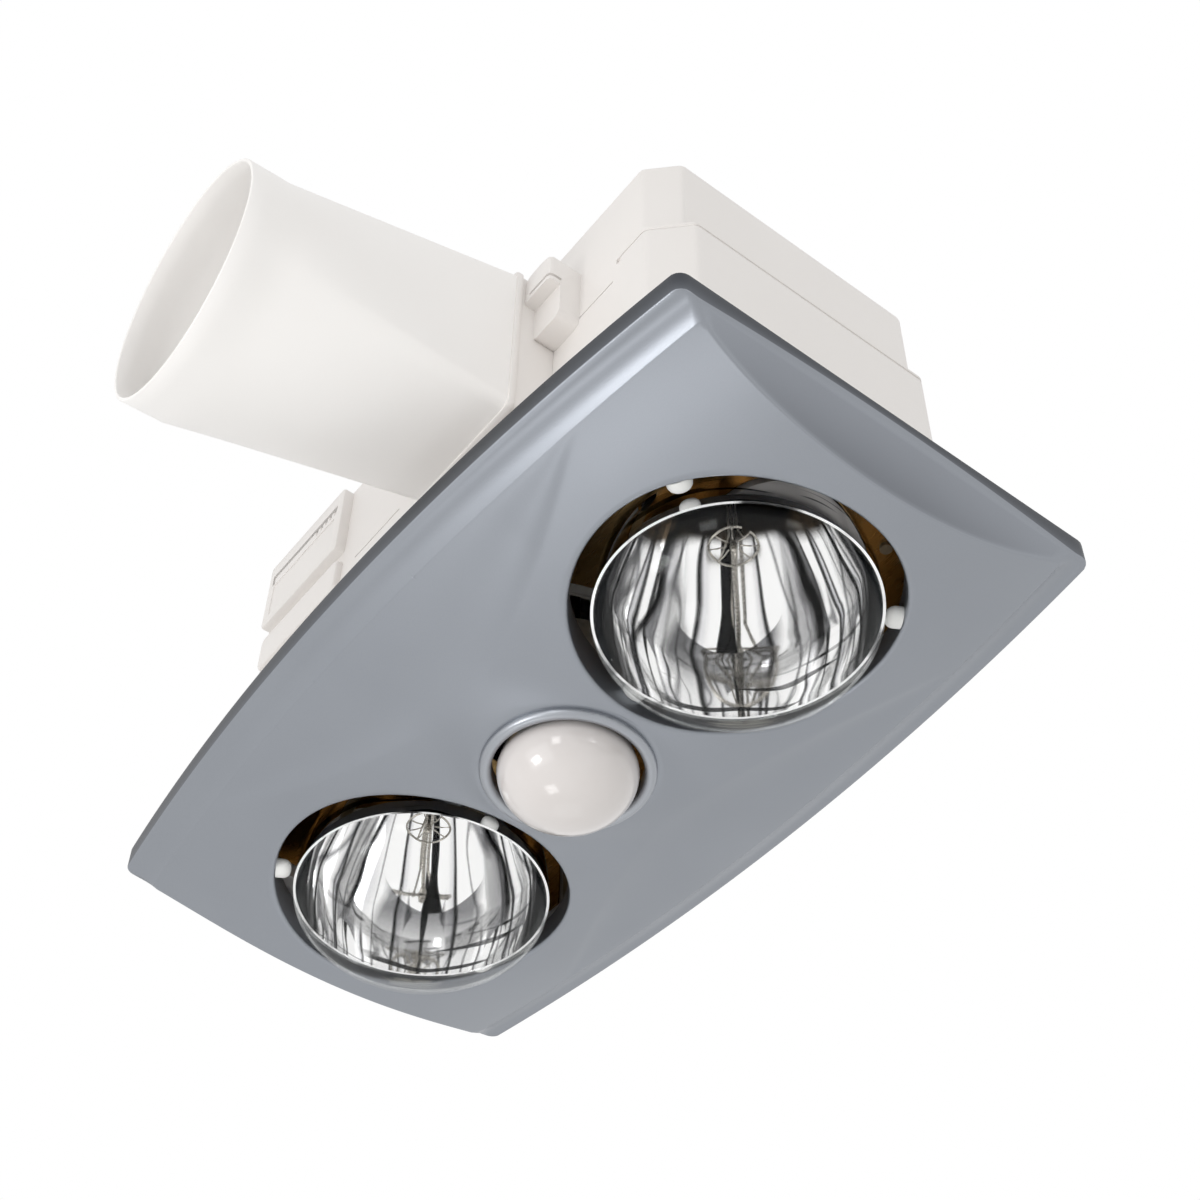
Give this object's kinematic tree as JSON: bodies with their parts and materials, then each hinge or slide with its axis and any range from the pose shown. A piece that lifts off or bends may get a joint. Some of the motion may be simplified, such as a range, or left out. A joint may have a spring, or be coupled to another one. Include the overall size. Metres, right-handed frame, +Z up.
{
  "type": "bathroom heater fan light",
  "caption": "Ceiling bathroom heater with a bowed fascia, infrared reflector lamps, a globe light and an exhaust fan that blows through a side duct.",
  "frame": {"origin": "centre of the ceiling flange's screw holes on its upper face, which is the ceiling plane", "axes": "+X along the fascia's long side, +Y across it and away from the duct, +Z up into the ceiling"},
  "size_m": [0.44, 0.3786, 0.255],
  "materials": {
    "fascia_silver": "satin metallic silver paint on moulded plastic",
    "ring_silver": "bright silver paint on moulded plastic",
    "bumper_white": "matt white silicone",
    "housing_cream": "smooth cream-white moulded plastic",
    "duct_white": "thin translucent cream-white moulded plastic",
    "inner_plastic": "plain grey-white moulded plastic",
    "impeller_plastic": "dark moulded plastic",
    "shield_gold": "bright rolled sheet with a gold-brown cast",
    "steel": "zinc-plated steel",
    "motor_steel": "plain sheet steel",
    "winding_copper": "enamelled copper wire",
    "grommet_rubber": "black rubber",
    "holder_ceramic": "unglazed steatite ceramic",
    "contact_brass": "plain brass",
    "terminal_plastic": "white moulded plastic",
    "cutout_plastic": "dark phenolic moulding",
    "lamp_glass": "clear hard glass",
    "lamp_mirror": "glass with a mirror coating inside",
    "cap_metal": "rolled screw cap",
    "filament_metal": "glass stem with fine metal supports",
    "opal_glass": "glossy opal glass"
  },
  "bodies": {
    "housing": {"ceiling_flange": "housing_cream", "housing_body": "housing_cream", "housing_cover": "housing_cream", "outlet_collar": "housing_cream", "duct_adaptor": "duct_white", "damper_pin": "steel", "heat_shield": "shield_gold", "shield_screws": "steel", "lampholder_right": "holder_ceramic", "lampholder_right_contact": "contact_brass", "lampholder_left": "holder_ceramic", "lampholder_left_contact": "contact_brass", "lamp_bracket_right": "steel", "lamp_bracket_left": "steel", "bracket_screws": "steel", "holder_screws": "steel", "light_holder": "holder_ceramic", "light_holder_contact": "contact_brass", "light_bracket": "steel", "fan_scroll": "inner_plastic", "scroll_lid": "inner_plastic", "inlet_ring": "inner_plastic", "motor_base": "motor_steel", "motor_top": "motor_steel", "motor_stator": "motor_steel", "motor_winding": "winding_copper", "bearing_lower": "steel", "bearing_upper": "steel", "motor_spacers": "steel", "motor_grommets": "grommet_rubber", "motor_bolts": "steel", "terminal_block": "terminal_plastic", "terminal_screws": "contact_brass", "terminal_cover": "housing_cream", "cable_gland": "inner_plastic", "gland_nut": "inner_plastic", "thermal_cutout": "cutout_plastic"},
    "fascia_panel": {"fascia": "fascia_silver", "light_ring": "ring_silver", "fascia_springs": "steel", "spring_rivets": "steel", "lamp_bumpers": "bumper_white"},
    "damper": {"damper_flap": "inner_plastic"},
    "heat_lamp_right": {"lamp_right_front": "lamp_glass", "lamp_right_bowl": "lamp_mirror", "lamp_right_cap": "cap_metal", "lamp_right_filament": "filament_metal"},
    "heat_lamp_left": {"lamp_left_front": "lamp_glass", "lamp_left_bowl": "lamp_mirror", "lamp_left_cap": "cap_metal", "lamp_left_filament": "filament_metal"},
    "light": {"light_globe": "opal_glass", "light_globe_cap": "cap_metal"},
    "fan_rotor": {"impeller": "impeller_plastic", "impeller_clip": "steel", "fan_shaft": "steel", "rotor_core": "motor_steel"}
  },
  "joints": [
    {"name": "fan_spin", "type": "hinge", "parent": "housing", "child": "fan_rotor", "pos_m": [-0.008, -0.005, 0.1545], "axis": [0, 0, -1], "continuous": true},
    {"name": "damper_swing", "type": "hinge", "parent": "housing", "child": "damper", "pos_m": [0.0615, -0.0916, 0.1445], "axis": [-1, 0, 0], "range_deg": [0, 60]},
    {"name": "fascia_drop", "type": "slide", "parent": "housing", "child": "fascia_panel", "axis": [0, 0, -1], "range_m": [0, 0.045]},
    {"name": "heat_lamp_right_out", "type": "slide", "parent": "housing", "child": "heat_lamp_right", "axis": [0, 0, -1], "range_m": [0, 0.024]},
    {"name": "heat_lamp_left_out", "type": "slide", "parent": "housing", "child": "heat_lamp_left", "axis": [0, 0, -1], "range_m": [0, 0.024]},
    {"name": "light_out", "type": "slide", "parent": "housing", "child": "light", "axis": [0, 0, -1], "range_m": [0, 0.024]}
  ]
}
